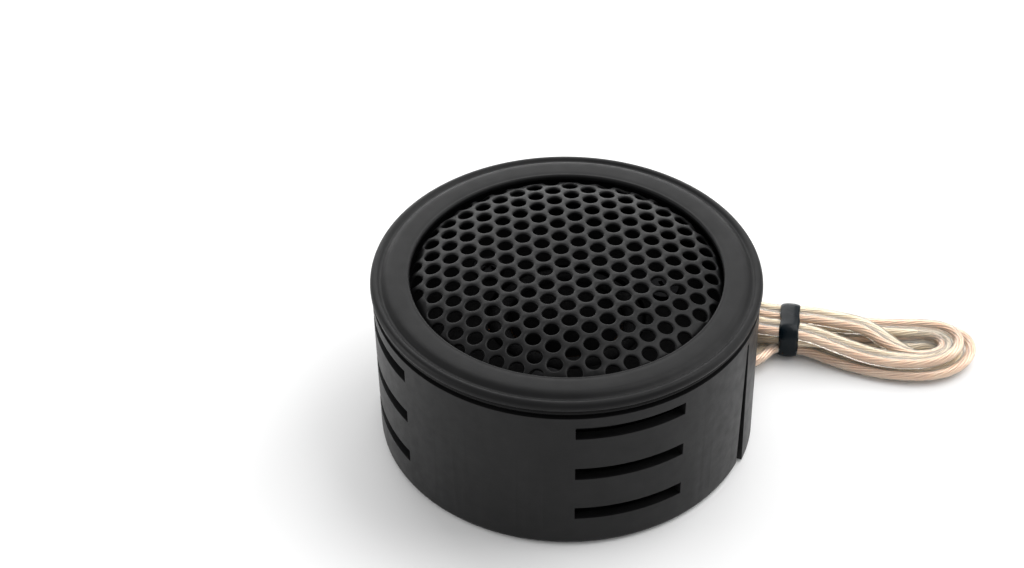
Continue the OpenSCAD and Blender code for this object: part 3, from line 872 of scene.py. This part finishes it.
def rivet(sign):
    verts, faces = lathe(rivet_profile, 32, closed=False)
    return [at_terminal(RIVET_AT, sign * RIVET_SIDE, 0) + p for p in verts], faces


add("rivets", *merge(rivet(-1), rivet(1)), "capsule", "tag_metal", TAG, replaces=["terminal_rivets"])


def polar(points):
    """Route points with a level flat, from their azimuth in degrees, radius and height."""
    return [
        (r * math.cos(math.radians(a)), r * math.sin(math.radians(a)), z, 0) for a, r, z in points
    ]


INNER = [
    (18.4, 21.9, 1.5), (18.4, 20.6, 1.5), (19.2, 19.7, 2), (22.5, 18.8, 2.7), (28, 18.5, 3.1),
    (36, 18.6, 3.4), (46, 18.8, 3.8), (58, 19, 4.4), (70, 19.1, 5.1), (82, 19.1, 5.9),
    (94, 19.1, 6.8), (106, 19.1, 7.7), (118, 19.1, 8.6), (130, 19.1, 9.5), (142, 19.1, 10.4),
    (154, 19.1, 11.2), (165, 19, 11.8), (175, 18.9, 12.2)
]
TAIL_MINUS = [
    (175, 18.15, 12.2), (179, 17.9, 12.5), (183, 17.6, 13.1), (187, 17.3, 13.8), (189.3, 17.15, 14.25)
]
TAIL_PLUS = [
    (175, 19.65, 12.2), (181, 19.9, 12), (188, 20, 11.5), (196, 20, 10.9), (204, 20, 10.3),
    (212, 20, 9.8), (219, 20, 9.5), (223, 20, 9.4)
]
CAP_PLUS = [
    (233.3, 18.06, 9.6), (229, 17.8, 9.8), (224, 17.6, 10.6), (218.5, 17.5, 11.8),
    (213, 17.4, 13.1), (207, 17.2, 14.4)
]
CAP_MINUS = [(234.9, 19.99, 9.6), (232, 20, 9.5), (229, 20, 9.4), (224, 20, 9.4)]

inner_line = spline(polar(INNER), 0.6)
for name, mesh, material, stands in (
    ("inner_twin_wire", sweep(inner_line, twin_outline), PVC, ["inner_lead"]),
    ("inner_core_copper", strands(inner_line, CORE_GAP), COPPER, []),
    ("inner_core_tinned", strands(inner_line, -CORE_GAP), TINNED, []),
):
    piece = add(name, *mesh, None, "clear_wire", material, sharp=60, replaces=stands)
    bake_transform(piece)


def sleeve_and_core(points, bare):
    """One conductor after the split: its insulation, and its strands, which reach on by bare mm."""
    step = 0.5
    line = spline(polar(points), step)
    insulated = line[:len(line) - int(bare / step)]
    return sweep(insulated, lambda along: ring_points(CORE_R, 12)), strands(line, 0.0)


minus_sleeve, minus_core = sleeve_and_core(TAIL_MINUS, 1.4)
plus_sleeve, plus_core = sleeve_and_core(TAIL_PLUS, 1.6)
add(
    "split_tails", *merge(minus_sleeve, plus_sleeve), "capsule", "clear_wire", PVC, sharp=60,
    replaces=["core_tails"]
)
add("tail_core_copper", *plus_core, "capsule", "clear_wire", COPPER, sharp=80)
add("tail_core_tinned", *minus_core, "capsule", "clear_wire", TINNED, sharp=80)

cap_wires = merge(*(round_bar(polar(points), 0.25, 10, 0.4) for points in (CAP_PLUS, CAP_MINUS)))
add(
    "capacitor_wires", *cap_wires, "capsule", "tinned_copper", SOLDER, sharp=60,
    replaces=["capacitor_leads"]
)


def blob(centre, radii, seed):
    """A solder joint: a soft lump with uneven sides."""
    local = np.random.default_rng(seed)
    bm = bmesh.new()
    bmesh.ops.create_icosphere(bm, subdivisions=3, radius=1)
    waves = local.normal(size=(3, 3)) * 1.6
    verts = []
    for v in bm.verts:
        p = np.array(v.co)
        swell = 1 + 0.08 * sum(math.sin(p @ w) for w in waves)
        verts.append(tuple(np.array(centre) + p * np.array(radii) * swell))
    faces = [tuple(v.index for v in f.verts) for f in bm.faces]
    bm.free()
    return verts, faces


# The joints on the tags and the splice by the capacitor: (azimuth, radius, height), its radii
SOLDERED = [
    ((206.2, 17.05, 14.35), (0.75, 0.75, 0.7)), ((190.4, 17.0, 14.4), (0.75, 0.75, 0.7)),
    ((224.2, 20, 9.4), (0.7, 0.7, 0.5))
]
joints = [blob(polar([at])[0][:3], radii, seed) for seed, (at, radii) in enumerate(SOLDERED, 1)]
joints += [
    blob(at_terminal(16.5, sign * 1.65, 15.45), (0.45, 0.45, 0.3), 5 + sign) for sign in (-1, 1)
]
add("solder_joints", *merge(*joints), "capsule", "tag_metal", SOLDER, sharp=80)


# ---------------------------------------------------------------- capacitor

MAGNET_R, CAP_GAP = 15.5, 0.3
CAP_R, CAP_Z, CAP_AT = 2.5, 9.6, math.radians(250)
STRIPE_TURN = (-62, -28)        # degrees up from straight outward
cap_out = np.array([math.cos(CAP_AT), math.sin(CAP_AT), 0])
cap_axis = np.array([math.sin(CAP_AT), -math.cos(CAP_AT), 0])      # from its closed end to its bung
cap_middle = cap_out * (MAGNET_R + CAP_R + CAP_GAP) + np.array([0, 0, CAP_Z])
cap_up = np.array([0, 0, 1])


def along_capacitor(mesh, start):
    """Lays a lathed mesh down along the capacitor's axis, from start mm of its middle."""
    verts, faces = mesh
    place = cap_middle + cap_axis * start
    return [tuple(place + cap_axis * z + cap_out * x + cap_up * y) for x, y, z in verts], faces


can_profile = (
    [(0, 0.12), (1.2, 0.1), (1.9, 0.04)] + arc(2.12, 0.36, 0.36, -90, 0, 6)
    + [(2.5, 0.6), (2.5, 8.15), (2.4, 8.35), (2.27, 8.55), (2.27, 8.7), (2.4, 8.9), (2.48, 9.1)]
    + [(2.48, 9.55), (2.35, 9.8), (2.2, 9.8), (2.2, 9.5), (0, 9.5)]
)
add(
    "capacitor_cup", *along_capacitor(lathe(can_profile, 64, closed=False), -5.5), "capsule",
    "can_aluminium", ALUMINIUM, replaces=["capacitor_can"]
)
sleeve_profile = (
    [(1.92, 0.0), (1.9, 0.1), (2.15, 0.16), (2.42, 0.3), (2.5, 0.6), (2.5, 8.3), (2.32, 8.7)]
    + [(2.32, 8.85), (2.5, 9.3), (2.48, 10.7), (2.3, 10.95), (2.38, 11.03)]
    + [(2.6, 10.8), (2.65, 10.6), (2.65, 9.35), (2.48, 8.95), (2.48, 8.6), (2.65, 8.15), (2.65, 0.5)]
    + [(2.55, 0.1), (2.3, -0.06)]
)
sleeve = add(
    "capacitor_wrap", *along_capacitor(lathe(sleeve_profile, 64), -5.7), "capsule",
    "sleeve_film", SLEEVE, replaces=["capacitor_sleeve"]
)
sleeve.data.materials.append(STRIPE)
for face in sleeve.data.polygons:
    offset = np.array(face.center) / MM - cap_middle
    out, up = offset @ cap_out, offset @ cap_up
    turn = math.degrees(math.atan2(up, out))
    if STRIPE_TURN[0] < turn < STRIPE_TURN[1] and math.hypot(out, up) > CAP_R + 0.1:
        face.material_index = 1
bung_profile = (
    [(0, -0.25), (2.2, -0.25), (2.2, 0.1), (2.38, 0.25), (2.38, 0.75), (2.2, 0.9), (0.9, 0.9)]
    + [(0.8, 0.8), (0, 0.8)]
)
add(
    "capacitor_plug", *along_capacitor(lathe(bung_profile, 48, closed=False), 4.3), "capsule",
    "seal_rubber", RUBBER, replaces=["capacitor_bung"]
)


# ---------------------------------------------------------------- floor, light and world

floor_mesh = bpy.data.meshes.new("floor")
floor_mesh.from_pydata([(-3, -3, 0), (3, -3, 0), (3, 3, 0), (-3, 3, 0)], [], [(0, 1, 2, 3)])
floor = bpy.data.objects.new("floor", floor_mesh)
scene.collection.objects.link(floor)
ground = Shader("floor_paper", Roughness=0.9)
ground.colour(ground.noise(60, 2), (0.86, 0.86, 0.86), (0.88, 0.88, 0.88))
ground.bsdf.inputs["Specular IOR Level"].default_value = 0.2
floor_mesh.materials.append(ground.material)

world = bpy.data.worlds.new("studio")
world.use_nodes = True
background = world.node_tree.nodes["Background"]
background.inputs["Color"].default_value = (1, 1, 1, 1)
background.inputs["Strength"].default_value = 0.62
scene.world = world


def softbox(name, place, size, power):
    """A rectangular lamp, turned towards the middle of the object."""
    data = bpy.data.lights.new(name, "AREA")
    data.shape = "RECTANGLE"
    data.size, data.size_y = (s * MM for s in size)
    data.energy = power
    aim(bpy.data.objects.new(name, data), place, (0, 0, 10))


softbox("key", (260, 120, 420), (420, 420), 1.8)
softbox("back", (-60, 480, 330), (520, 260), 1.4)
softbox("back_low", (-40, 520, 70), (640, 110), 0.8)
softbox("left", (-460, 20, 150), (300, 240), 0.85)
softbox("right", (460, 20, 150), (300, 240), 0.6)

scene.view_settings.view_transform = "Standard"
